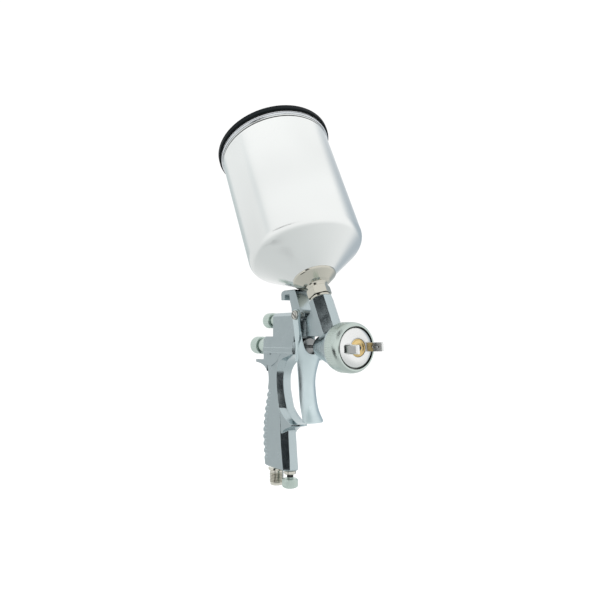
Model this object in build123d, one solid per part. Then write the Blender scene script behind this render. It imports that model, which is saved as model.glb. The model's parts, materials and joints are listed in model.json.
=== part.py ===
"""HVLP gravity-feed spray gun with an aluminium cup, as separate pieces.

Millimetres. Origin: the fluid axis where it crosses the front plane of the air cap ring.
+X is the spray direction, +Y the gun's left side, +Z up.
"""
import os
from math import cos, radians, sin

from build123d import *

# ---------------------------------------------------------------- driving dimensions
CUP_RADIUS = 50.0
CUP_LEAN = 27.57            # degrees that the cup axis leans back from vertical
CUP_FOOT_X = -25.3          # where the cup axis crosses the fluid axis
CUP_SLOPE = 0.75            # rise of the cup's cone for each millimetre of radius
CUP_WALL = 1.0
RIM = 204.8                 # height of the cup's rim, measured along the cup axis
NECK_TOP = 43.5             # top of the neck, measured along the cup axis

BODY_HALF = 11.0            # half thickness of the forged body
HANDLE_BASE = -108.0        # height of the handle's foot
HEAD_BACK = -47.0
HEAD_FRONT = -15.6
SPIGOT_FRONT = -8.0
SPIGOT_RADIUS = 16.9
RING_RADIUS = 19.65
RING_BACK = -15.1

PIVOT_X, PIVOT_Z = -63.7, 26.3
PIVOT_RADIUS = 2.5
EAR_INNER, EAR_OUTER = 11.35, 13.5

BLOCK_FRONT = -70.5
BLOCK_REAR = -122.0
FAN_REAR = -105.0
FAN_Z = 23.0

INLET_X = -115.5
INLET_RADIUS = 6.58
REGULATOR_X = -93.0

RUN = 0.08                  # radial clearance of a running fit
SEAT = 0.02                 # clearance of a seated or threaded fit

# ---------------------------------------------------------------- placing
FLUID_AXIS = Rot(0, 90, 0)                          # local z becomes +X
FAN_AXIS = Pos(0, 0, FAN_Z) * Rot(0, 90, 0)
INLET_AXIS = Pos(INLET_X, 0, 0)
REGULATOR_AXIS = Pos(REGULATOR_X, 0, 0)
CUP_AXIS = Pos(CUP_FOOT_X, 0, 0) * Rot(0, -CUP_LEAN, 0)

nodes = {}


# ---------------------------------------------------------------- helpers
def turned(place, *points):
    """A turned solid: (radius, height) points round the local z axis."""
    outline = make_face(Polyline(*points, close=True))
    return place * revolve(Plane.XZ * outline, Axis.Z)


def tube(place, low, high, outer, inner=0.0):
    """A plain tube or rod between two heights."""
    return turned(place, (inner, low), (outer, low), (outer, high), (inner, high))


def hexagon(place, low, high, flats, hole=0.0, softened=0.5):
    """A hexagon nut with rounded corners and an optional hole."""
    nut = extrude(RegularPolygon(flats / 2, 6, major_radius=False), high - low)
    corner = flats / 2 / cos(radians(30))
    rise = corner - flats / 2
    cap = turned(Pos(0, 0, 0), (0, 0), (flats / 2 + softened, 0), (corner, rise * 0.6),
                 (corner, high - low - rise * 0.6), (flats / 2 + softened, high - low), (0, high - low))
    nut = nut & cap
    if hole:
        nut -= Cylinder(hole, 3 * (high - low))
    return place * Pos(0, 0, low) * nut


def plate(points, half_width):
    """A side outline of (x, z) points, extruded both ways from the middle plane."""
    return extrude(Plane.XZ * make_face(Polyline(*points, close=True)), half_width, both=True)


def fluted(knob, place, low, high, radius, count, depth=0.35, cutter=0.75):
    """Grip flutes round a knob, cut parallel to its axis."""
    offset = radius + cutter - depth
    cutters = [Rot(0, 0, 360 * i / count) * Pos(offset, 0, low) *
               Cylinder(cutter, high - low, align=(Align.CENTER, Align.CENTER, Align.MIN))
               for i in range(count)]
    return knob - [place * c for c in cutters]


def drilled(start, end, radius):
    """A round passage between two points."""
    start, end = Vector(*start), Vector(*end)
    route = end - start
    return Plane(start, z_dir=route) * Cylinder(radius, route.length,
                                                align=(Align.CENTER, Align.CENTER, Align.MIN))


def cone_height(radius):
    """Height of the cup's outer cone at a radius."""
    return 65.0 + (radius - 18.0) * CUP_SLOPE


# ---------------------------------------------------------------- gun body
HANDLE_SECTIONS = [         # z, front x, back x, half width, half width of the front strip
    (-6.0, -72.0, -119.5, 10.9, 9.3), (-12.0, -87.4, -120.6, 10.2, 6.2), (-18.0, -94.4, -121.3, 9.0, 4.6),
    (-24.0, -97.4, -121.2, 8.1, 3.9), (-30.0, -98.4, -121.0, 7.7, 3.7), (-36.0, -98.2, -121.8, 7.6, 3.7),
    (-42.0, -97.0, -123.0, 7.7, 3.7), (-48.0, -95.0, -124.3, 7.9, 3.7), (-54.0, -92.8, -125.6, 8.1, 3.7),
    (-60.0, -91.0, -126.9, 8.3, 3.7), (-66.0, -90.1, -128.0, 8.4, 3.7), (-72.0, -89.8, -128.8, 8.4, 3.7),
    (-78.0, -89.5, -129.2, 8.4, 3.7), (-84.0, -89.0, -129.2, 8.4, 3.7), (-90.0, -88.3, -128.7, 8.4, 3.8),
    (-96.0, -87.6, -128.0, 8.3, 3.8), (-102.0, -87.0, -127.2, 8.2, 3.9), (HANDLE_BASE, -86.6, -126.4, 8.1, 3.9)]
SCALLOP_FIRST, SCALLOP_PITCH, SCALLOPS = -41.0, 6.4, 10


def handle_section(z, front, back, half, strip):
    """One level section of the handle: narrow front strip, bevels, flat sides, round back."""
    bevel, round_back = 1.35 * (half - strip), 5.0
    bulge = round_back * (1 - cos(radians(45)))
    right = [(front, strip), (front - bevel, half), (back + round_back, half)]
    left = [(x, -y) for x, y in reversed(right)]
    outline = (Polyline(*right)
               + ThreePointArc(right[-1], (back + bulge, half - bulge), (back, half - round_back))
               + Line((back, half - round_back), (back, round_back - half))
               + ThreePointArc((back, round_back - half), (back + bulge, bulge - half), left[0])
               + Polyline(*left)
               + Line(left[-1], right[0]))
    return Pos(0, 0, z) * make_face(outline)


def handle_size(z):
    """Front, back, half width and strip of the handle, between the listed sections."""
    for upper, lower in zip(HANDLE_SECTIONS, HANDLE_SECTIONS[1:]):
        if lower[0] <= z <= upper[0]:
            share = (upper[0] - z) / (upper[0] - lower[0])
            return [a + share * (b - a) for a, b in zip(upper[1:], lower[1:])]
    return HANDLE_SECTIONS[-1][1:]


def scallop(z):
    """A finger groove round the back of the handle, fading out along its sides."""
    reach, depth = 2.1, 1.0
    core = []
    for height, inset in ((z - reach, -0.15), (z, depth), (z + reach, -0.15)):
        front, back, half, strip = handle_size(height)
        core.append(handle_section(height, front + 3, back + inset, half - 0.55 * inset, strip))
    back = handle_size(z)[1]
    slab = Pos(back, 0, z) * Box(19, 30, 2 * reach)
    return slab - loft(core)


def handle():
    grip = loft([handle_section(*row) for row in HANDLE_SECTIONS])
    foot = grip.faces().sort_by(Axis.Z)[0]
    grip = chamfer(foot.edges(), 0.9)
    return grip - [scallop(SCALLOP_FIRST - i * SCALLOP_PITCH) for i in range(SCALLOPS)]


def ledge_outline(y, top, under):
    """Side outline of the finger rest at one distance from the middle plane."""
    outline = Spline(*top) + Line(top[-1], under[0]) + Spline(*under) + Line(under[-1], top[0])
    return Plane.XZ.offset(-y) * make_face(outline)


def finger_rest():
    """The ledge that runs forward under the trigger, swept back at its sides."""
    middle = ([(-93.5, -52), (-89, -58.5), (-83.5, -62.6), (-78, -64.9), (-71.8, -66.0)],
              [(-71.2, -67.2), (-77, -68.9), (-84.5, -70.4), (-92, -76)])
    side = ([(-101.5, -49), (-97, -56), (-92, -60.4), (-85.5, -64.2), (-79, -66.6)],
            [(-78.6, -67.6), (-82, -69.0), (-87, -70.8), (-95, -76)])
    ledge = extrude(ledge_outline(0, *middle), 3.6, both=True)
    for way in (-1, 1):
        ledge += loft([ledge_outline(way * 3.5, *middle), ledge_outline(way * 8.0, *side)])
    return ledge


def tang():
    """The web-of-hand hook behind the body."""
    under = Spline((-145.5, -14.9), (-136.0, -15.6), (-127.2, -17.2), (-121.0, -20.5), (-117.5, -25.5), (-114.5, -31.0))
    outline = Polyline((-114.5, -31.0), (-112.0, -20.0), (-112.0, -12.6), (-144.9, -12.9), (-145.5, -14.9)) + under
    hook = extrude(Plane.XZ * make_face(outline), 8.6, both=True)
    tip = Pos(-136.9, 0, -20) * Cylinder(8.6, 40)
    root = Pos(-124, 0, -20) * Box(26, 30, 40)
    hook = hook & (tip + root)
    inside_handle = Pos(-114, 0, -24) * Box(10, 2 * 8.6, 16) - Pos(-114, 0, -24) * Box(10, 2 * 7.6, 16)
    return hook - inside_handle


def rear_blocks():
    upper = plate([(FAN_REAR, 4), (FAN_REAR, 29), (-68.5, 29), (-68.5, 4)], BODY_HALF)
    top = upper.edges().filter_by(Axis.X).group_by(Axis.Z)[-1]
    upper = chamfer(top, 3.0)
    upper = fillet(upper.edges().filter_by(Axis.Z), 1.0)
    lower = plate([(BLOCK_REAR, -14), (BLOCK_REAR, 4.6), (BLOCK_REAR + 5, 8.4), (BLOCK_FRONT, 8.4),
                   (BLOCK_FRONT, -6.8), (-110, -6.8), (-110, -14)], BODY_HALF)
    lower = fillet(lower.edges().group_by(Axis.X)[0], 1.2)
    lower = chamfer(lower.edges().filter_by(Axis.Z).group_by(Axis.X)[-1], 1.5)
    lower -= [Pos(-116, way * (BODY_HALF + 4.4), -12) * Box(30, 10, 8) for way in (-1, 1)]
    panel = plate([(BLOCK_REAR + 0.6, -16.5), (BLOCK_REAR + 0.6, -6.5), (-92.5, -6.5), (-99.4, -13.8), (-109, -18.1)],
                  BODY_HALF - 0.6)
    rib_back, rib_front = BLOCK_REAR + 0.8, BLOCK_FRONT - 1.5
    rib = Pos((rib_back + rib_front) / 2, 0, -3.5) * Box(rib_front - rib_back, 2 * BODY_HALF + 1.2, 4.8)
    rib = chamfer(rib.edges().filter_by(Axis.X), 0.55)
    return upper + lower + panel + rib


def hanger():
    """The hanging hook on top of the body, open to the rear and below."""
    half = 6.2
    outline = [(-80.5, 27), (-81.2, 33), (-83.6, 39), (-84.8, 45), (-92.6, 45), (-92.8, 40.4), (-97.8, 40.4),
               (-98.2, 45.6), (-97.2, 47.8), (-94.6, 49.0), (-77.6, 49.0), (-75.2, 47.2), (-72.0, 40.8),
               (-68.5, 33.1), (-66.0, 27)]
    hook = fillet(plate(outline, half).edges().filter_by(Axis.Y), 0.8)
    rounded = extrude(Plane.YZ * Pos(0, 25) * RectangleRounded(2 * half, 49.2, 2.6), -120)
    return hook & rounded


def neck():
    """The web, bridge, spine and octagonal neck that carry the head and the cup."""
    web = plate([(-71, 8.0), (-71, 22.5), (-56, 23.6), (-56, 8.5)], 5.5)
    bridge = plate([(-57.5, 8.7), (-57.5, 23.6), (-54.5, 24.5), (-51.2, 27.0), (-49.3, 30.2),
                    (-44, 31), (-33, 9.0), (-20, 9.0), (-20, 5.0), (-35, 5.0), (-37, 8.7)], 7.8)
    bridge = fillet(bridge.edges().filter_by(Axis.Z).group_by(Axis.X)[0], 1.2)
    outline = Polyline((9.0, -3.7), (9.0, 3.7), (2.2, 10.5), (-3.7, 10.5), (-8.6, 5.2), (-8.6, -5.2), (-3.7, -10.5),
                       (2.2, -10.5), close=True)
    octagon = Pos(0, 0, 6) * extrude(make_face(outline), NECK_TOP - 6)
    crown = turned(Pos(0, 0, 0), (0, 0), (15, 0), (15, NECK_TOP - 3.4), (9.2, NECK_TOP), (0, NECK_TOP))
    return web + bridge + CUP_AXIS * (octagon & crown)


def head():
    cone = turned(FLUID_AXIS, (0, HEAD_BACK), (7.2, HEAD_BACK), (8.2, HEAD_BACK + 1), (9.2, -44),
                  (17.8, -18.6), (18.9, -17.2), (18.9, HEAD_FRONT), (SPIGOT_RADIUS, HEAD_FRONT),
                  (SPIGOT_RADIUS, SPIGOT_FRONT), (0, SPIGOT_FRONT))
    air_channel = tube(FLUID_AXIS, -12, SPIGOT_FRONT + 1, 14.0, 9.0)
    return cone - air_channel


def passages():
    """Bores, threads and air and paint passages."""
    cuts = [
        tube(FLUID_AXIS, -24, 0, 5.0), tube(FLUID_AXIS, -36, -23, 3.2), tube(FLUID_AXIS, -39, -35, 1.7),
        tube(FLUID_AXIS, -60, -38, 3.5), tube(FLUID_AXIS, -84.1, BLOCK_FRONT + 5, 5.5 + SEAT),
        tube(FLUID_AXIS, -106, -84, 6.2), tube(FLUID_AXIS, -130, -105, 5.5 + SEAT),
        tube(FAN_AXIS, -93, -80, 3.0), tube(FAN_AXIS, FAN_REAR - 5, -92.9, 4.4 + SEAT),
        tube(CUP_AXIS, 1, 27, 4.0), tube(CUP_AXIS, 26, 45, 6.0 + SEAT),
        tube(INLET_AXIS, HANDLE_BASE - 5, -96, 6.0 + SEAT), tube(REGULATOR_AXIS, HANDLE_BASE - 5, -97, 4.5 + SEAT),
        tube(REGULATOR_AXIS, -98, -86, 3.0),
        drilled((INLET_X, 0, -97), (-108, 0, -30), 3.2), drilled((-108, 0, -32), (-100, 0, 0), 3.2),
        drilled((REGULATOR_X - 1, 0, -88), (-110.5, 0, -74), 2.6), drilled((-90, 0, 0), (-82, 0, FAN_Z), 2.2),
        drilled((-84, 0, 19), (-50, 0, 17), 1.8), drilled((-52, 0, 17), (-41, 5.2, 12.5), 1.4),
        drilled((-41.4, 5.0, 12.7), (-11, 6.6, 9.5), 1.4),
        Pos(PIVOT_X, 0, PIVOT_Z) * Rot(90, 0, 0) * Cylinder(PIVOT_RADIUS + SEAT, 60),
    ]
    return cuts


def gun_body():
    boss = Pos(PIVOT_X, 0, PIVOT_Z) * Rot(90, 0, 0) * Cylinder(4.6, 15.0)
    solid = rear_blocks() + handle() + finger_rest() + tang() + hanger() + neck() + head() + boss
    needle_gap = Pos((HEAD_BACK + BLOCK_FRONT) / 2, 0, -4.15) * Box(HEAD_BACK - BLOCK_FRONT, 60, 25)
    solid -= needle_gap - Pos(BLOCK_FRONT, 0, 8.5 + 10) * Box(80, 60, 20)
    return solid - passages()


# ---------------------------------------------------------------- trigger
TRIGGER_SECTIONS = [        # z, edge x, bulge forward, half width
    (-63.0, -56.6, 3.4, 10.6), (-59.5, -58.4, 3.4, 9.7), (-53, -61.8, 3.6, 8.8), (-40, -65.2, 4.2, 8.4),
    (-28, -66.2, 4.8, 8.5), (-16, -64.9, 5.3, 10.4), (-7, -62.6, 5.0, 12.4), (-0.5, -60.7, 4.2, EAR_OUTER),
    (6, -59.4, 3.6, EAR_OUTER), (12.4, -58.7, 3.0, EAR_OUTER)]
TRIGGER_WALL = 2.3


def trigger_section(z, edge, bulge, half):
    """A crescent: a thin wall that bows forward."""
    wall = TRIGGER_WALL
    outer = ThreePointArc((edge, -half), (edge + bulge, 0), (edge, half))
    inner = ThreePointArc((edge - wall, half - 0.9), (edge + bulge - wall, 0), (edge - wall, 0.9 - half))
    outline = outer + Line(outer @ 1, inner @ 0) + inner + Line(inner @ 1, outer @ 0)
    return Pos(0, 0, z) * make_face(outline)


def trigger():
    shell = loft([trigger_section(*row) for row in TRIGGER_SECTIONS])
    foot = Plane.YZ * Pos(0, -13) * RectangleRounded(21.3, 100, 4.0)
    shell &= extrude(foot, -120) + Pos(-60, 0, -26.5) * Box(60, 40, 63) + Pos(-60, 0, 10) * Box(60, 40, 20)
    ear_side = (Spline((-64.4, -12), (-64.0, -6), (-63.8, -0.5), (-64.8, 6.9), (-66.1, 14.3), (-68.0, 21.5),
                       (-68.6, 26.3))
                + ThreePointArc((-68.6, 26.3), (-63.7, 31.2), (-58.8, 26.3))
                + Spline((-58.8, 26.3), (-59.9, 21.5), (-59.4, 17.5), (-58.4, 12.4), (-58.2, 8), (-60.0, 0),
                         (-63.2, -12))
                + Line((-63.2, -12), (-64.4, -12)))
    ears = extrude(Plane.XZ * make_face(ear_side), EAR_OUTER, both=True)
    ears -= Box(300, 2 * EAR_INNER, 300)
    solid = shell + ears
    near = [(0, -6.6), (2.3, -6.2), (6.0, -4.0), (9.0, 1.5), (10.6, 6.9), (EAR_INNER, 12.2)]
    near_side = Spline(*near)
    far_side = Spline(*[(-y, z) for y, z in reversed(near)])
    notch = make_face(near_side + Polyline((EAR_INNER, 12.2), (EAR_INNER, 40), (-EAR_INNER, 40), (-EAR_INNER, 12.2))
                      + far_side)
    solid -= Pos(-20, 0, 0) * extrude(Plane.YZ * notch, -75)
    pivot_hole = Pos(PIVOT_X, 0, PIVOT_Z) * Rot(90, 0, 0) * Cylinder(PIVOT_RADIUS + RUN, 60)
    return solid - pivot_hole


def across(y_low, y_high, radius):
    """A cylinder along Y on the trigger pivot."""
    middle = (y_low + y_high) / 2
    return Pos(PIVOT_X, middle, PIVOT_Z) * Rot(90, 0, 0) * Cylinder(radius, y_high - y_low)


def pivot_parts():
    face = EAR_OUTER + 0.15
    head_top = face + 1.7
    stud_head = fillet(across(face, head_top, 4.0).edges().group_by(Axis.Y)[-1], 0.7)
    stud = across(-face + 0.05, face, PIVOT_RADIUS) + stud_head - across(-20, 0, 1.5)
    screw_head = fillet(across(-head_top, -face, 4.0).edges().group_by(Axis.Y)[0], 0.7)
    screw = screw_head + across(-face, -2, 1.5 - SEAT)
    ring_groove = across(-head_top - 1, -head_top + 0.4, 3.2) - across(-20, 0, 2.5)
    slot = Pos(PIVOT_X, -head_top, PIVOT_Z) * Rot(0, 35, 0) * Box(12, 1.4, 1.0)
    nodes["trigger_pivot_stud"] = stud
    nodes["trigger_pivot_screw"] = screw - slot - ring_groove


# ---------------------------------------------------------------- spray head
def head_parts():
    nodes["needle_packing"] = tube(FLUID_AXIS, -41, -38.1, 3.5 - SEAT, 1.25 + RUN)
    nodes["packing_nut"] = (tube(FLUID_AXIS, -47.1, -41.1, 3.5 - SEAT, 1.35)
                            + hexagon(FLUID_AXIS, -50.0, HEAD_BACK - SEAT, 9.0, 1.35))
    nozzle = turned(FLUID_AXIS, (3.0, -23.5), (5.0 - SEAT, -23.5), (5.0 - SEAT, -5.6), (4.6, -3.2), (1.45, 0.8),
                    (1.45, 4.2), (1.15, 4.6), (0.75, 4.6), (0.75, 1.2), (3.0, -5.0))
    nodes["fluid_nozzle"] = nozzle + hexagon(FLUID_AXIS, -5.5, -3.2, 13.0, 4.5)
    nodes["head_gasket"] = tube(FLUID_AXIS, SPIGOT_FRONT, -7.4, 16.5, 14.4)
    baffle = tube(FLUID_AXIS, -7.3, -5.6, 14.1, 5.1)
    holes = [FLUID_AXIS * Rot(0, 0, 36 * i) * Pos(10.6, 0, -7) * Cylinder(1.1, 8) for i in range(10)]
    nodes["air_baffle"] = baffle - holes
    nodes["air_cap"] = air_cap()
    nodes["air_cap_insert"] = turned(FLUID_AXIS, (2.1, 3.3), (2.1, 1.6), (5.0, -0.9), (7.0 - SEAT, -0.9),
                                     (7.0 - SEAT, 1.9), (6.2, 2.3), (5.8, 2.1), (3.4, 3.4))
    nodes["cap_washer"] = tube(FLUID_AXIS, -6.1, -4.85, 16.95, 14.4)
    nodes["retaining_ring"] = retaining_ring()


def air_cap():
    dome = (Polyline((17.0, -4.75), (17.0, -2.6), (15.6, -2.6), (15.6, -0.9))
            + ThreePointArc((15.6, -0.9), (14.0, 0.75), (7.0, 2.3))
            + Polyline((7.0, 2.3), (7.0, -0.9), (11.6, -0.9), (12.4, -1.7), (12.4, -4.75), (17.0, -4.75)))
    cap = FLUID_AXIS * revolve(Plane.XZ * make_face(dome), Axis.Z)
    for side in (-1, 1):
        outline = [(-1.5, 12.9), (15.2, 12.9), (16.8, 12.2), (16.8, 10.6), (9.5, 8.2), (3.0, 7.7), (-0.5, 8.6)]
        horn = extrude(make_face(Polyline(*[(x, side * y) for x, y in outline], close=True)), 3.4, both=True)
        horn = chamfer(horn.edges().filter_by(Axis.X), 0.8)
        cap += horn
        for x in (10.2, 13.4):
            cap -= drilled((x + 1.2, side * 12.0, 0), (x - 2.0, side * 4.0, 0), 0.75)
    return Rot(4.6, 0, 0) * cap


def retaining_ring():
    lip = (Polyline((16.4, -2.4), (17.15, -2.4), (17.15, -6.3), (SPIGOT_RADIUS + 0.1, -6.3),
                    (SPIGOT_RADIUS + 0.1, RING_BACK), (RING_RADIUS - 0.5, RING_BACK), (RING_RADIUS, RING_BACK + 0.5),
                    (RING_RADIUS, -5.4))
           + ThreePointArc((RING_RADIUS, -5.4), (RING_RADIUS - 0.75, -2.1), (17.6, 0))
           + Polyline((17.6, 0), (16.4, 0), (16.4, -2.4)))
    ring = FLUID_AXIS * revolve(Plane.XZ * make_face(lip), Axis.Z)
    return fluted(ring, FLUID_AXIS, -13.6, -6.4, RING_RADIUS, 72, 0.16, 0.6)


# ---------------------------------------------------------------- needle, air valve, fluid knob
def needle_parts():
    nodes["fluid_needle"] = turned(
        FLUID_AXIS, (0, 4.4), (0.35, 4.3), (0.65, 1.2), (1.25, -1.2), (1.25, -112), (3.2, -112), (3.2, -114),
        (1.25, -114), (1.25, -124), (0, -124))
    nodes["needle_spring"] = tube(FLUID_AXIS, -142.9, -114.05, 3.3, 1.7)
    nodes["air_valve_bushing"] = (tube(FLUID_AXIS, -84, BLOCK_FRONT + SEAT, 5.5, 3.0 + RUN)
                                  + hexagon(FLUID_AXIS, BLOCK_FRONT + SEAT, -67.6, 12.0, 3.0 + RUN)
                                  - tube(FLUID_AXIS, -85, -81, 4.6))
    nodes["air_valve_seal"] = tube(FLUID_AXIS, -83.5, -81.1, 4.5, 3.0 + RUN)
    nodes["air_valve_stem"] = (tube(FLUID_AXIS, -92, -61.6, 3.0, 1.25 + RUN)
                               + turned(FLUID_AXIS, (1.33, -63.1), (6.9, -63.1), (7.4, -62.7), (7.4, -62.0),
                                        (6.9, -61.6), (1.33, -61.6)))
    nodes["air_valve_poppet"] = turned(FLUID_AXIS, (1.4, -95), (5.0, -95), (5.0, -93.6), (4.2, -92.02), (1.4, -92.02))
    nodes["air_valve_spring"] = tube(FLUID_AXIS, -105.9, -95.05, 4.8, 3.2)
    bushing = (tube(FLUID_AXIS, BLOCK_REAR - 0.1, -106, 5.5, 1.5)
               + hexagon(FLUID_AXIS, BLOCK_REAR - 3.4, BLOCK_REAR - SEAT, 13.0, 1.5)
               + tube(FLUID_AXIS, -131, BLOCK_REAR - 3, 5.0, 1.5))
    nodes["fluid_bushing"] = bushing - tube(FLUID_AXIS, -140, -108, 3.6)
    nodes["fluid_knob"] = capped_knob(FLUID_AXIS, -154.5, -140.6, -126.6, 8.2, 6.5, 5.1, -137, 3.6, -143, 32)
    nodes["fluid_knob_seal"] = tube(FLUID_AXIS, -136.95, -135.4, 5.0, 3.7)


def capped_knob(place, end, cap_front, skirt_front, cap_radius, skirt_radius, bore, bore_end, pocket, pocket_end,
                flutes):
    """A domed, fluted cap on a plain skirt that runs over its bushing."""
    outline = (ThreePointArc((0, end), (cap_radius * 0.62, end + 0.9), (cap_radius, end + 3.4))
               + Polyline((cap_radius, end + 3.4), (cap_radius, cap_front - 0.6), (cap_radius - 0.6, cap_front),
                          (skirt_radius - 0.9, cap_front), (skirt_radius - 0.9, cap_front + 1.8),
                          (skirt_radius - 0.3, cap_front + 2.2), (skirt_radius, cap_front + 2.8),
                          (skirt_radius, skirt_front - 0.5), (skirt_radius - 0.5, skirt_front), (bore, skirt_front),
                          (bore, bore_end), (pocket, bore_end), (pocket, pocket_end), (0, pocket_end), (0, end)))
    knob = place * revolve(Plane.XZ * make_face(outline), Axis.Z)
    return fluted(knob, place, end + 1.0, cap_front + 0.5, cap_radius, flutes)


def fan_parts():
    nodes["fan_bushing"] = (tube(FAN_AXIS, FAN_REAR - 0.1, -93, 4.4, 1.8 + RUN)
                            + hexagon(FAN_AXIS, -107.8, FAN_REAR - SEAT, 11.0, 1.8 + RUN)
                            + tube(FAN_AXIS, -112.5, -107, 4.2, 1.8 + RUN))
    nodes["fan_knob"] = capped_knob(FAN_AXIS, -133.0, -120.2, -109.4, 7.0, 5.3, 4.3, -117, 1.85, -121, 28)
    nodes["fan_stem"] = turned(FAN_AXIS, (0, -120.9), (1.8, -120.9), (1.8, -88), (0.6, -84), (0, -84))
    nodes["fan_knob_seal"] = tube(FAN_AXIS, -116.95, -115.5, 4.2, 1.9)


# ---------------------------------------------------------------- fittings under the handle
def foot_parts():
    base = HANDLE_BASE
    nodes["inlet_seal"] = tube(INLET_AXIS, base - 1.0, base, 7.3, 6.1)
    fitting = (tube(INLET_AXIS, base - 1.1, -96.1, 6.0, 4.0)
               + turned(INLET_AXIS, (4.0, base - 3.6), (6.9, base - 3.6), (7.6, base - 3.1), (7.6, base - 1.6),
                        (7.2, base - 1.02), (4.0, base - 1.02))
               + turned(INLET_AXIS, (4.0, -124.8), (5.3, -124.8), (5.8, -124.3), (5.8, -122.9), (INLET_RADIUS, -122.4),
                        (INLET_RADIUS, -113.4), (5.9, -113.0), (5.9, base - 3.5), (4.0, base - 3.5)))
    nodes["air_inlet_fitting"] = fitting
    nodes["regulator_bushing"] = (tube(REGULATOR_AXIS, base - 0.1, -98, 4.5, 2.0 + RUN)
                                  + turned(REGULATOR_AXIS, (2.08, base - 3.4), (4.6, base - 3.4), (5.4, base - 2.8),
                                           (5.4, base - 0.5), (5.0, base - SEAT), (2.08, base - SEAT)))
    nodes["regulator_seal"] = tube(REGULATOR_AXIS, base - 5.9, base - 4.6, 2.9, 2.05)
    nodes["regulator_stem"] = turned(REGULATOR_AXIS, (0, base - 8), (2.0, base - 8), (2.0, -93), (1.0, -90), (0, -90))
    knob = turned(REGULATOR_AXIS, (0, -122.9), (5.6, -122.9), (7.0, -121.8), (7.0, -116.2), (6.0, -115.2),
                  (2.8, -115.2),
                  (2.8, base - 6), (2.02, base - 6), (2.02, base - 8.02), (0, base - 8.02))
    nodes["regulator_knob"] = fluted(knob, REGULATOR_AXIS, -122.9, -115.2, 7.0, 24, 0.5, 0.8)


# ---------------------------------------------------------------- cup
def cup_parts():
    nodes["neck_adapter"] = (tube(CUP_AXIS, 27.1, NECK_TOP + 0.1, 6.0, 4.0)
                             + turned(CUP_AXIS, (4.0, NECK_TOP + SEAT), (8.4, NECK_TOP + SEAT), (8.9, 44.1),
                                      (8.9, 45.5), (8.4, 46.0), (4.0, 46.0))
                             + turned(CUP_AXIS, (4.0, 45.9), (6.5, 45.9), (6.5, 51.8), (5.9, 52.4), (4.0, 52.4)))
    nodes["cup_seal"] = tube(CUP_AXIS, 52.5, 54.0, 6.45, 4.2)
    nodes["cup_coupling_nut"] = hexagon(CUP_AXIS, 46.5, 54.0, 17.4, 6.6, 0.2)
    nodes["cup_collar"] = cup_collar()
    nodes["cup_strainer"] = (tube(CUP_AXIS, 60.2, 61.2, 6.2, 3.6)
                             + turned(CUP_AXIS, (3.4, 61.1), (4.2, 61.1), (3.2, 84), (2.4, 84))
                             + tube(CUP_AXIS, 83.9, 84.9, 3.2))
    nodes["cup_shell"] = cup_shell()
    nodes["cup_rim_band"] = turned(CUP_AXIS, (50.02, 201.9), (50.6, 201.9), (51.1, 202.3), (51.1, 203.1),
                                   (50.85, 203.35), (51.1, 203.6), (51.1, 204.3), (50.8, RIM), (50.02, RIM))
    lid_parts()


def cup_collar():
    """Flared connector: tail tube, stem and a dish that the cup's cone sits in."""
    top, edge = 65.0, 18.5
    dish = turned(CUP_AXIS, (4.5, 54.02), (8.5, 54.02), (8.5, 56.2), (9.2, 57.1), (11.6, 58.4), (edge - 0.6, top - 1.8),
                  (edge, top - 1.2), (edge, cone_height(edge) - SEAT), (10.0, cone_height(10.0) - SEAT),
                  (9.4, cone_height(9.4)), (9.4, 60.0), (4.5, 60.0))
    return dish


def cup_shell():
    shoulder = 8.5
    rim, hole = RIM, 9.5
    outer_top = cone_height(CUP_RADIUS)
    outer = make_face(Polyline((0, cone_height(hole)), (hole, cone_height(hole)), (CUP_RADIUS, outer_top),
                               (CUP_RADIUS, rim), (0, rim), close=True))
    outer = fillet(outer.vertices().sort_by_distance((CUP_RADIUS, outer_top))[0], shoulder)
    rise = CUP_WALL * (1 + CUP_SLOPE ** 2) ** 0.5
    inner_radius = CUP_RADIUS - CUP_WALL
    inner_corner = cone_height(inner_radius) + rise
    inner = make_face(Polyline((0, cone_height(hole) + rise), (hole, cone_height(hole) + rise),
                               (inner_radius, inner_corner), (inner_radius, rim + 5), (0, rim + 5), close=True))
    inner = fillet(inner.vertices().sort_by_distance((inner_radius, inner_corner))[0], shoulder - CUP_WALL)
    shell = revolve(Plane.XZ * (outer - inner), Axis.Z)
    return CUP_AXIS * (shell - Cylinder(hole, 200) - bead(201.2, 0.6))


def bead(height, depth):
    """A rolled groove round the cup wall."""
    return Pos(0, 0, height) * Torus(CUP_RADIUS + 0.25, depth)


def lid_parts():
    under = RIM + 1.02
    outline = (Polyline((0, under + 5.0), (40.0, under + 3.0), (46.9, under + 1.6), (46.9, under - 6),
                        (48.4, under - 6),
                        (48.6, under - 5), (48.6, under), (52.0, under), (52.7, under + 0.5), (52.7, under + 3.4))
               + ThreePointArc((52.7, under + 3.4), (52.3, under + 4.4), (51.2, under + 4.8))
               + ThreePointArc((51.2, under + 4.8), (25.0, under + 6.7), (0, under + 7.4))
               + Line((0, under + 7.4), (0, under + 5.0)))
    lid = revolve(Plane.XZ * make_face(outline), Axis.Z) - Cylinder(2.0, 600)
    nodes["lid"] = CUP_AXIS * lid
    nodes["lid_gasket"] = tube(CUP_AXIS, RIM + SEAT, under - SEAT, 51.0, 49.1)
    top = under + 7.5
    nodes["lid_vent_plug"] = turned(CUP_AXIS, (0, top - 3.5), (1.95, top - 3.5), (1.95, top), (5.0, top),
                                    (5.0, top + 1.7),
                                    (4.2, top + 2.5), (0, top + 2.5))


# ---------------------------------------------------------------- build and write
nodes["gun_body"] = gun_body()
nodes["trigger"] = trigger()
pivot_parts()
head_parts()
needle_parts()
fan_parts()
foot_parts()
cup_parts()

os.makedirs("parts", exist_ok=True)
for name, shape in nodes.items():
    export_step(shape, f"parts/{name}.step")
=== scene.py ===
"""Looks of the gravity-feed spray gun: finishes, threads, light and camera."""
import json
import math

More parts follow.
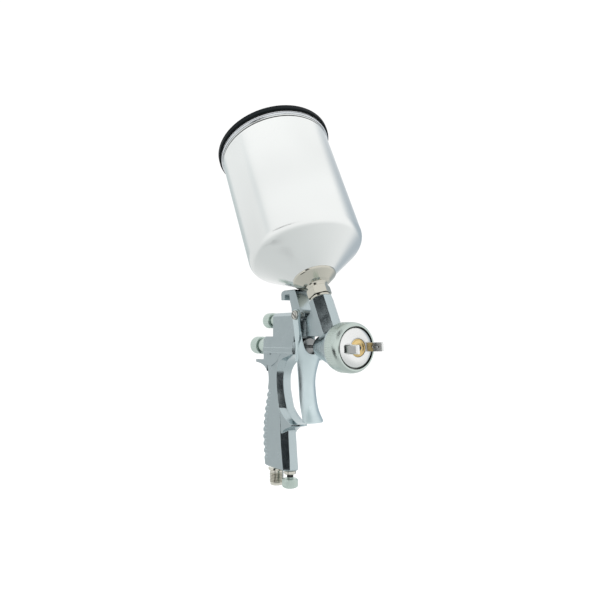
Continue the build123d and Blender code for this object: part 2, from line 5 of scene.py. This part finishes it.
import bmesh
import bpy
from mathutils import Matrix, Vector


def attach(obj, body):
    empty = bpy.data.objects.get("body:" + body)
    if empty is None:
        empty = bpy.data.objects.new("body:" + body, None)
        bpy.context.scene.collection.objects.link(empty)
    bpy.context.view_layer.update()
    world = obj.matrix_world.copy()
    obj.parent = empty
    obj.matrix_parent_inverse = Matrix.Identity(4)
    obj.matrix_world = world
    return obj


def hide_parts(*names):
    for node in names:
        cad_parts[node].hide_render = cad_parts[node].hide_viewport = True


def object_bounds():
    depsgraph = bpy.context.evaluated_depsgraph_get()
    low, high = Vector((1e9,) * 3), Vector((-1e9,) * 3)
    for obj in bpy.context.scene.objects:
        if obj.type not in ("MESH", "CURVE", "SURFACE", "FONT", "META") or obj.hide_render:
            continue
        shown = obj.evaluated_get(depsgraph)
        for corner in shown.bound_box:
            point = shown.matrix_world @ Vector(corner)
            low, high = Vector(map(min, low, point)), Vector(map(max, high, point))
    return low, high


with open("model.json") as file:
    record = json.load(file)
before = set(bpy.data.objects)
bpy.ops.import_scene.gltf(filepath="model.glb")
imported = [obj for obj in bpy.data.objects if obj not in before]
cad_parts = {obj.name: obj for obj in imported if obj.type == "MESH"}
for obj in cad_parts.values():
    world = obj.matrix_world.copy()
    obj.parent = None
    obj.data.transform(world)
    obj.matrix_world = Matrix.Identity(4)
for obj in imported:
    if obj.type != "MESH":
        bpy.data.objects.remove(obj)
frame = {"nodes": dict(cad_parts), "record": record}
cad_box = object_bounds()
nodes = frame["nodes"]
MM = 0.001
WHITE = (1.0, 1.0, 1.0, 1.0)

CUP_LEAN = math.radians(27.57)
CUP_AXIS = Vector((-math.sin(CUP_LEAN), 0.0, math.cos(CUP_LEAN)))
CUP_FOOT = Vector((-25.3 * MM, 0.0, 0.0))
SPRAY_AXIS = Vector((1.0, 0.0, 0.0))


# ---------------------------------------------------------------- node helpers
class Nodes:
    """A node tree under construction: adds nodes and links them in one step."""

    def __init__(self, owner):
        owner.use_nodes = True
        self.tree = owner.node_tree

    def add(self, kind, **settings):
        node = self.tree.nodes.new(kind)
        for key, value in settings.items():
            setattr(node, key, value)
        return node

    def link(self, output, socket):
        self.tree.links.new(output, socket)

    def dot(self, vector, axis):
        """The part of a vector that lies along an axis."""
        node = self.add("ShaderNodeVectorMath", operation="DOT_PRODUCT")
        node.inputs[1].default_value = axis
        self.link(vector, node.inputs[0])
        return node.outputs["Value"]

    def painted(self, colour, mask, tone):
        """The colour with another tone where the mask is 1."""
        mix = self.add("ShaderNodeMix", data_type="RGBA")
        mix.inputs["B"].default_value = (*tone, 1.0)
        self.link(mask, mix.inputs["Factor"])
        self.link(colour, mix.inputs["A"])
        return mix.outputs["Result"]


class Finish(Nodes):
    """A material; lengths are in metres, and noise scales in cells per metre."""

    def __init__(self, name):
        self.material = bpy.data.materials.new(name)
        super().__init__(self.material)
        self.shader = self.tree.nodes["Principled BSDF"]
        self.place = self.add("ShaderNodeTexCoord").outputs["Object"]

    def noise(self, scale, detail=3.0):
        node = self.add("ShaderNodeTexNoise")
        node.inputs["Scale"].default_value = scale
        node.inputs["Detail"].default_value = detail
        self.link(self.place, node.inputs["Vector"])
        return node.outputs["Fac"]

    def along(self, axis, cells, detail=4.0):
        """Noise that changes only along one axis: lathe lines round it."""
        node = self.add("ShaderNodeTexNoise", noise_dimensions="1D")
        node.inputs["Scale"].default_value = cells
        node.inputs["Detail"].default_value = detail
        self.link(self.dot(self.place, axis), node.inputs["W"])
        return node.outputs["Fac"]

    def spread(self, value, low, high, clear=(0.3, 0.7)):
        """Maps a value in the clear range to low ... high."""
        node = self.add("ShaderNodeMapRange")
        node.inputs["From Min"].default_value = clear[0]
        node.inputs["From Max"].default_value = clear[1]
        node.inputs["To Min"].default_value = low
        node.inputs["To Max"].default_value = high
        self.link(value, node.inputs["Value"])
        return node.outputs["Result"]

    def base_colour(self, colour):
        self.link(colour, self.shader.inputs["Base Color"])

    def colours(self, value, first, second, clear=(0.35, 0.65)):
        """Runs from one colour to another as the value passes through the clear range."""
        ramp = self.add("ShaderNodeValToRGB")
        ramp.color_ramp.elements[0].position = clear[0]
        ramp.color_ramp.elements[1].position = clear[1]
        ramp.color_ramp.elements[0].color = (*first, 1.0)
        ramp.color_ramp.elements[1].color = (*second, 1.0)
        self.link(value, ramp.inputs["Fac"])
        return ramp.outputs["Color"]

    def crevice_shade(self, reach):
        """1 deep in gaps and corners narrower than the reach, 0 on open faces: where shade is painted."""
        node = self.add("ShaderNodeAmbientOcclusion")
        node.samples = 8
        node.inputs["Distance"].default_value = reach
        return self.spread(node.outputs["AO"], 1.0, 0.0, (0.20, 0.72))

    def soft_edges(self, radius):
        """Normals that round every edge by a radius, as casting and tumbling do."""
        node = self.add("ShaderNodeBevel")
        node.samples = 6
        node.inputs["Radius"].default_value = radius
        return node.outputs["Normal"]

    def facing_sideways(self):
        """1 on faces that look along Y, 0 on the others."""
        split = self.add("ShaderNodeSeparateXYZ")
        self.link(self.add("ShaderNodeTexCoord").outputs["Normal"], split.inputs[0])
        size = self.add("ShaderNodeMath", operation="ABSOLUTE")
        self.link(split.outputs["Y"], size.inputs[0])
        return self.spread(size.outputs[0], 0.0, 1.0, (0.90, 0.97))

    def lines(self, axis, origin, places, width):
        """1 on thin lines round an axis at the given distances along it, 0 elsewhere."""
        offset = self.add("ShaderNodeVectorMath", operation="SUBTRACT")
        offset.inputs[1].default_value = origin
        self.link(self.place, offset.inputs[0])
        distance = self.dot(offset.outputs[0], axis)
        total = None
        for place in places:
            compare = self.add("ShaderNodeMath", operation="COMPARE")
            compare.inputs[1].default_value = place
            compare.inputs[2].default_value = width / 2
            self.link(distance, compare.inputs[0])
            if total is None:
                total = compare.outputs[0]
                continue
            highest = self.add("ShaderNodeMath", operation="MAXIMUM")
            self.link(total, highest.inputs[0])
            self.link(compare.outputs[0], highest.inputs[1])
            total = highest.outputs[0]
        return total

    def mixed(self, factor, first, second):
        """A number that runs from first to second."""
        node = self.add("ShaderNodeMix", data_type="FLOAT")
        self.link(factor, node.inputs["Factor"])
        self.link(first, node.inputs["A"])
        self.link(second, node.inputs["B"])
        return node.outputs["Result"]

    def bump(self, height, distance, below=None):
        """Relief of the given depth, on top of the normals below it."""
        node = self.add("ShaderNodeBump")
        node.inputs["Distance"].default_value = distance
        node.inputs["Strength"].default_value = 1.0
        self.link(height, node.inputs["Height"])
        if below is not None:
            self.link(below, node.inputs["Normal"])
        self.link(node.outputs["Normal"], self.shader.inputs["Normal"])
        return node.outputs["Normal"]


def tinted(colour, factor):
    """The colour made lighter or darker by a factor."""
    return tuple(min(1.0, c * factor) for c in colour)


LATHE_CELLS = 2600.0                             # tool marks per metre along a turned part
CLOUD_DARK, CLOUD_LIGHT = 0.94, 1.05             # how far a metal's tone wanders, as shares of its colour
CREVICE_SHADE_TONE, SHADOW_LINE_TONE = 0.18, 0.03               # how dark the painted shade in its corners and the painted shadow lines are, as shares of its colour


def metal(name, colour, roughness, grain, grain_size, lathe=None, lathe_depth=0.0, cloud=14.0, uneven=0.25,
          edges=0.15 * MM, polished=None, shade_reach=5 * MM, shadow_lines=(), shadow_line_width=0.5 * MM, side_shade=1.0):
    """A metal with cloudy tone, uneven polish, fine grain, painted shade in its corners, optional painted shade
    on its sideways faces, optional painted shadow lines and optional lathe lines.

    grain and grain_size are the depth and width of its skin texture; lathe is the axis that it was turned on.
    polished is the roughness of every face that doesn't look sideways, where that differs, and side_shade is how
    bright the faces that do are drawn, as painted shade. shade_reach is the width of the gaps where shade is
    painted in. shadow_lines are painted shadow lines round the cup, by height along its axis.
    """
    finish = Finish(name)
    finish.shader.inputs["Metallic"].default_value = 1.0
    tone = finish.colours(finish.noise(cloud, 2.0), tinted(colour, CLOUD_DARK), tinted(colour, CLOUD_LIGHT))
    # painted shade: gaps and corners narrower than the reach are drawn at a dark share of the colour
    tone = finish.painted(tone, finish.crevice_shade(shade_reach), tinted(colour, CREVICE_SHADE_TONE))
    # painted shade: faces that look along Y are drawn at a darker share of the colour
    if side_shade != 1.0:
        tone = finish.painted(tone, finish.facing_sideways(), tinted(colour, side_shade))
    # painted shadow lines: near-black rings round the cup at the given heights along its axis
    if shadow_lines:
        rings = finish.lines(CUP_AXIS, CUP_FOOT, shadow_lines, shadow_line_width)
        tone = finish.painted(tone, rings, tinted(colour, SHADOW_LINE_TONE))
    finish.base_colour(tone)

    polish = finish.noise(cloud * 9, 5.0)
    wear = finish.spread(polish, roughness * (1 - uneven), roughness * (1 + uneven))
    if polished is not None:
        bright = finish.spread(polish, polished * (1 - uneven), polished * (1 + uneven))
        wear = finish.mixed(finish.facing_sideways(), bright, wear)
    finish.link(wear, finish.shader.inputs["Roughness"])

    normal = finish.bump(finish.noise(1.0 / grain_size, 2.0), grain, below=finish.soft_edges(edges))
    if lathe is not None:
        finish.bump(finish.along(lathe, LATHE_CELLS), lathe_depth, below=normal)
    return finish.material


def plastic(name, colour, roughness, grain, grain_size, specular=0.5):
    """A moulded plastic or rubber with faint mottling and a fine skin texture."""
    finish = Finish(name)
    finish.shader.inputs["Specular IOR Level"].default_value = specular
    finish.base_colour(finish.colours(finish.noise(40.0), tinted(colour, 0.85), tinted(colour, 1.15)))
    finish.link(finish.spread(finish.noise(180.0, 4.0), roughness * 0.8, roughness * 1.25),
                finish.shader.inputs["Roughness"])
    finish.bump(finish.noise(1.0 / grain_size, 3.0), grain)
    return finish.material


# ---------------------------------------------------------------- finishes
# painted shade: the body's sideways faces are drawn at 0.79 of its colour
SATIN_BODY = metal("satin_nickel_body", (0.50, 0.58, 0.60), 0.34, grain=0.010 * MM, grain_size=0.25 * MM,
                   edges=0.6 * MM, polished=0.17, shade_reach=13 * MM, side_shade=0.79)
SATIN_TRIGGER = metal("satin_chrome_trigger", (0.63, 0.735, 0.755), 0.36, grain=0.007 * MM, grain_size=0.22 * MM,
                      edges=0.5 * MM, shade_reach=3 * MM)
# painted shadow lines: a near-black ring at 200.3 mm under the rim band, and one at 203.35 mm in the band's
# groove
POLISHED_CUP = metal("polished_aluminium_cup", (0.88, 0.90, 0.89), 0.20, grain=0.0015 * MM, grain_size=0.5 * MM,
                     lathe=CUP_AXIS, lathe_depth=0.003 * MM, cloud=8.0, uneven=0.06, edges=0.3 * MM,
                     shade_reach=1.2 * MM, shadow_lines=(200.3 * MM,), shadow_line_width=1.4 * MM)
RIM_BAND = metal("rolled_rim_band", (0.80, 0.83, 0.86), 0.20, grain=0.003 * MM, grain_size=0.4 * MM,
                 lathe=CUP_AXIS, lathe_depth=0.004 * MM, edges=0.2 * MM, shade_reach=0.8 * MM, shadow_lines=(203.35 * MM,))
NICKEL = metal("polished_nickel", (0.66, 0.65, 0.58), 0.18, grain=0.003 * MM, grain_size=0.4 * MM, shade_reach=2.5 * MM)
CUP_NICKEL = metal("turned_nickel", (0.62, 0.605, 0.53), 0.12, grain=0.003 * MM, grain_size=0.4 * MM,
                   lathe=CUP_AXIS, lathe_depth=0.004 * MM, edges=0.3 * MM)
RING_SATIN = metal("satin_anodised_ring", (0.57, 0.65, 0.61), 0.33, grain=0.006 * MM, grain_size=0.2 * MM,
                   lathe=SPRAY_AXIS, lathe_depth=0.010 * MM, shade_reach=3 * MM)
KNOB_SATIN = metal("satin_anodised_knob", (0.60, 0.70, 0.65), 0.33, grain=0.007 * MM, grain_size=0.2 * MM,
                   shade_reach=3 * MM)
# painted shade: the cap's sideways faces, such as its horns, are drawn at 0.55 of its colour
CAP_SILVER = metal("polished_silver_cap", (0.84, 0.85, 0.84), 0.22, grain=0.003 * MM, grain_size=0.3 * MM,
                   lathe=SPRAY_AXIS, lathe_depth=0.004 * MM, edges=0.3 * MM, shade_reach=4 * MM, side_shade=0.55)
BRASS = metal("polished_brass", (0.80, 0.60, 0.28), 0.18, grain=0.003 * MM, grain_size=0.2 * MM,
              lathe=SPRAY_AXIS, lathe_depth=0.004 * MM)
STEEL = metal("ground_steel", (0.30, 0.31, 0.31), 0.22, grain=0.004 * MM, grain_size=0.2 * MM)
PIVOT_STEEL = metal("turned_pivot_steel", (0.60, 0.60, 0.56), 0.24, grain=0.004 * MM, grain_size=0.2 * MM)
SPRING_STEEL = metal("spring_wire", (0.42, 0.42, 0.42), 0.28, grain=0.003 * MM, grain_size=0.2 * MM)
BLACK_PLASTIC = plastic("black_moulded_plastic", (0.005, 0.007, 0.008), 0.40, grain=0.010 * MM,
                        grain_size=0.5 * MM, specular=0.08)
WHITE_PLASTIC = plastic("white_seal_plastic", (0.72, 0.72, 0.68), 0.45, grain=0.006 * MM, grain_size=0.3 * MM)
BLACK_RUBBER = plastic("black_rubber", (0.016, 0.016, 0.016), 0.55, grain=0.012 * MM, grain_size=0.3 * MM,
                       specular=0.3)

SLOT_FINISH = {
    "body_satin": SATIN_BODY, "trigger_satin": SATIN_TRIGGER, "pivot_steel": PIVOT_STEEL,
    "cup_aluminium": POLISHED_CUP, "nickel": NICKEL, "ring_satin": RING_SATIN, "knob_satin": KNOB_SATIN,
    "cap_silver": CAP_SILVER, "brass": BRASS, "steel": STEEL, "spring_steel": SPRING_STEEL,
    "lid_plastic": BLACK_PLASTIC, "seal_plastic": WHITE_PLASTIC, "seal_rubber": BLACK_RUBBER}
NODE_FINISH = {"cup_collar": CUP_NICKEL, "cup_coupling_nut": CUP_NICKEL, "neck_adapter": CUP_NICKEL,
               "cup_rim_band": RIM_BAND}


def finish_cad_nodes():
    """Gives every carried-over CAD node its finish, by node or else by the record's material slot."""
    for part in frame["record"]["subparts"]:
        obj = nodes[part["node"]]
        obj.data.materials.clear()
        obj.data.materials.append(NODE_FINISH.get(part["node"], SLOT_FINISH[part["material_slot"]]))


finish_cad_nodes()


# ---------------------------------------------------------------- scene helper
def placed(data):
    """Puts a mesh, light or camera into the scene under its own name."""
    obj = bpy.data.objects.new(data.name, data)
    bpy.context.scene.collection.objects.link(obj)
    return obj


# ---------------------------------------------------------------- threaded inlet
INLET_X = -115.5
THREAD_TOP, THREAD_TIP = -113.2, -122.6          # heights between which the thread runs, in millimetres
THREAD_PITCH, THREAD_DEPTH = 1.337, 0.85         # one quarter inch pipe thread
THREAD_CREST, THREAD_BLANK = 6.58, 0.35          # crest radius, and how much less it is where the thread fades
THREAD_FADE = 0.8                                # length over which the thread starts and ends
THREAD_STEP = 0.11                               # height of one row of the thread's faces
FACETS = 96


def thread_radius(height, turn):
    """Radius of the thread at a height and a share of a turn, in millimetres."""
    phase = (height / THREAD_PITCH + turn) % 1.0
    cut = THREAD_DEPTH * abs(2.0 * phase - 1.0)
    full = max(0.0, min(1.0, (THREAD_TOP - height) / THREAD_FADE, (height - THREAD_TIP) / THREAD_FADE))
    return THREAD_CREST - cut * full - (1.0 - full) * THREAD_BLANK


def threaded_inlet():
    """The air inlet with its real helical thread; everything else follows the CAD fitting.

    Its outline is closed: down the outside and back up the bore. A row without a radius is on the thread.
    """
    shank = [(4.0, -96.1), (6.0, -96.1), (6.0, -109.02), (7.2, -109.02), (7.6, -109.6), (7.6, -111.1),
             (6.9, -111.6), (5.9, -111.6), (5.9, THREAD_TOP)]
    rows = int((THREAD_TOP - THREAD_TIP) / THREAD_STEP)
    thread = [(None, THREAD_TOP - THREAD_STEP * (i + 1)) for i in range(rows)]
    nose = [(5.8, -122.9), (5.8, -124.3), (5.3, -124.8), (4.0, -124.8)]
    mesh = bmesh.new()
    rings = []
    for fixed, height in shank + thread + nose:
        ring = []
        for i in range(FACETS):
            turn = i / FACETS
            angle = 2 * math.pi * turn
            radius = thread_radius(height, turn) if fixed is None else fixed
            x, y = INLET_X + radius * math.cos(angle), radius * math.sin(angle)
            ring.append(mesh.verts.new((x * MM, y * MM, height * MM)))
        rings.append(ring)
    for upper, lower in zip(rings, rings[1:] + rings[:1]):
        for i in range(FACETS):
            j = (i + 1) % FACETS
            mesh.faces.new((upper[i], upper[j], lower[j], lower[i]))
    bmesh.ops.recalc_face_normals(mesh, faces=mesh.faces)
    data = bpy.data.meshes.new("threaded_inlet")
    mesh.to_mesh(data)
    mesh.free()
    data.materials.append(NICKEL)
    data.shade_smooth()
    data.set_sharp_from_angle(angle=math.radians(38))
    obj = placed(data)
    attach(obj, "gun")
    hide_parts("air_inlet_fitting")


threaded_inlet()


# ---------------------------------------------------------------- stage, light and camera
class Tent(Nodes):
    """The world's light: round cards painted on a white tent, each towards a direction."""

    def __init__(self):
        world = bpy.data.worlds.new("tent")
        bpy.context.scene.world = world
        super().__init__(world)
        self.tree.nodes.clear()
        self.direction = self.add("ShaderNodeTexCoord").outputs["Generated"]
        self.colour = self.add("ShaderNodeRGB").outputs[0]
        self.colour.default_value = WHITE

    def card(self, aim, inner, outer, tone):
        """A round card; inner and outer are its full and faded radius in degrees."""
        edge = self.add("ShaderNodeMapRange", interpolation_type="SMOOTHSTEP")
        edge.inputs["From Min"].default_value = math.cos(math.radians(outer))
        edge.inputs["From Max"].default_value = math.cos(math.radians(inner))
        self.link(self.dot(self.direction, Vector(aim).normalized()), edge.inputs["Value"])
        self.colour = self.painted(self.colour, edge.outputs["Result"], tone)

    def finish(self):
        """Lights the gun with the tent, behind a plain white backdrop."""
        tent = self.add("ShaderNodeBackground")
        self.link(self.colour, tent.inputs["Color"])
        backdrop = self.add("ShaderNodeBackground")
        backdrop.inputs["Color"].default_value = WHITE
        backdrop.inputs["Strength"].default_value = 1.05
        choice = self.add("ShaderNodeMixShader")
        self.link(self.add("ShaderNodeLightPath").outputs["Is Camera Ray"], choice.inputs["Fac"])
        self.link(tent.outputs[0], choice.inputs[1])
        self.link(backdrop.outputs[0], choice.inputs[2])
        self.link(choice.outputs[0], self.add("ShaderNodeOutputWorld").inputs["Surface"])


TENT_CARDS = [                                   # aim, full and faded radius in degrees, tone
    ((0, 0, -1), 30, 88, (0.70, 0.72, 0.72)),                # below: the cup's cone
    ((-1.0, -0.55, 0.0), 20, 60, (0.86, 0.87, 0.87)),        # the faces that look sideways
    ((-0.25, 1.0, 0.12), 12, 40, (0.42, 0.48, 0.53)),        # the cup's right edge
    ((-0.46, -0.88, 0.50), 1.5, 7, (0.76, 0.79, 0.80)),      # a thin line on the cup's left
    ((-0.99, 0.15, 0.1), 4, 20, (0.56, 0.62, 0.63)),         # the cup's left edge
]


def surroundings():
    """A white tent with the grey cards that the metals mirror."""
    tent = Tent()
    for card in TENT_CARDS:
        tent.card(*card)
    tent.finish()


def dark_card(name, centre, up, across, height, width):
    """A dark card beside the gun, out of the camera's sight, that only its metals mirror.

    It lies in the plane of up and across, so it is edge-on to what is in line with it.
    """
    up = Vector(up).normalized()
    normal = up.cross(Vector(across)).normalized()
    across = normal.cross(up)
    mesh = bpy.data.meshes.new(name)
    signs = [(-1, -1), (1, -1), (1, 1), (-1, 1)]
    corners = [(Vector(centre) + across * (a * width / 2) + up * (b * height / 2)) * MM for a, b in signs]
    mesh.from_pydata(corners, [], [(0, 1, 2, 3)])
    obj = placed(mesh)
    obj.visible_camera = False
    obj.visible_diffuse = False
    obj.visible_shadow = False
    finish = Finish(name)
    finish.shader.inputs["Base Color"].default_value = (0.01, 0.012, 0.015, 1.0)
    finish.shader.inputs["Roughness"].default_value = 0.9
    mesh.materials.append(finish.material)


GUN_MIDDLE = Vector((-0.05, 0.0, 0.06))


def soft_light(name, location, size, power):
    """A round lamp aimed at the middle of the gun, with no highlight of its own."""
    data = bpy.data.lights.new(name, "AREA")
    data.shape = "DISK"
    data.size = size
    data.energy = power
    light = placed(data)
    light.location = location
    light.rotation_mode = "QUATERNION"
    light.visible_glossy = False
    aim = GUN_MIDDLE - Vector(location)
    light.rotation_quaternion = aim.to_track_quat("-Z", "Y")


def overhead_light():
    """Even light from above that keeps the floor pale and leaves no highlight."""
    data = bpy.data.lights.new("overhead", "SUN")
    data.energy = 0.9
    data.angle = math.radians(70)
    placed(data).visible_glossy = False


def floor():
    """A plain pale floor under the gun."""
    half, drop = 6.0, 0.06
    level = cad_box[0].z - drop
    mesh = bpy.data.meshes.new("floor")
    corners = [(-half, -half, level), (half, -half, level), (half, half, level), (-half, half, level)]
    mesh.from_pydata(corners, [], [(0, 1, 2, 3)])
    obj = placed(mesh)
    finish = Finish("pale_floor")
    finish.base_colour(finish.colours(finish.noise(3.0), (0.93, 0.93, 0.93), (0.95, 0.95, 0.95)))
    finish.shader.inputs["Roughness"].default_value = 0.9
    mesh.materials.append(finish.material)
    obj.visible_glossy = False


CAMERA_PLACE = Vector((355.6, -286.2, 9.4)) * MM
CAMERA_AZIMUTH, CAMERA_ELEVATION = math.radians(56.53), math.radians(-3.37)


def camera():
    """The camera fitted to the photo: ahead of the gun, on its right, about level with the spray head."""
    data = bpy.data.cameras.new("camera")
    data.sensor_width = 36.0
    data.lens = 36.0
    data.clip_start, data.clip_end = 0.01, 30.0
    obj = placed(data)
    back = Vector((math.sin(CAMERA_AZIMUTH) * math.cos(CAMERA_ELEVATION),
                   -math.cos(CAMERA_AZIMUTH) * math.cos(CAMERA_ELEVATION),
                   math.sin(CAMERA_ELEVATION)))
    obj.location = CAMERA_PLACE
    obj.rotation_mode = "QUATERNION"
    obj.rotation_quaternion = (-back).to_track_quat("-Z", "Y")
    bpy.context.scene.camera = obj


surroundings()
floor()
dark_card("neck_card", (6, -120, 124), (0.437, -0.86, 0.262), (0.856, 0.497, 0.147), 150, 60)
dark_card("handle_card", (-42, -128, -75), (0.0, 0.517, 0.857), (0.88, 0.47, 0.0), 176, 84)
overhead_light()
soft_light("key", (0.5, -0.2, 0.9), 0.6, 5.0)
soft_light("fill", (0.2, -1.0, 0.3), 0.9, 3.0)
camera()
bpy.context.scene.view_settings.view_transform = "Standard"
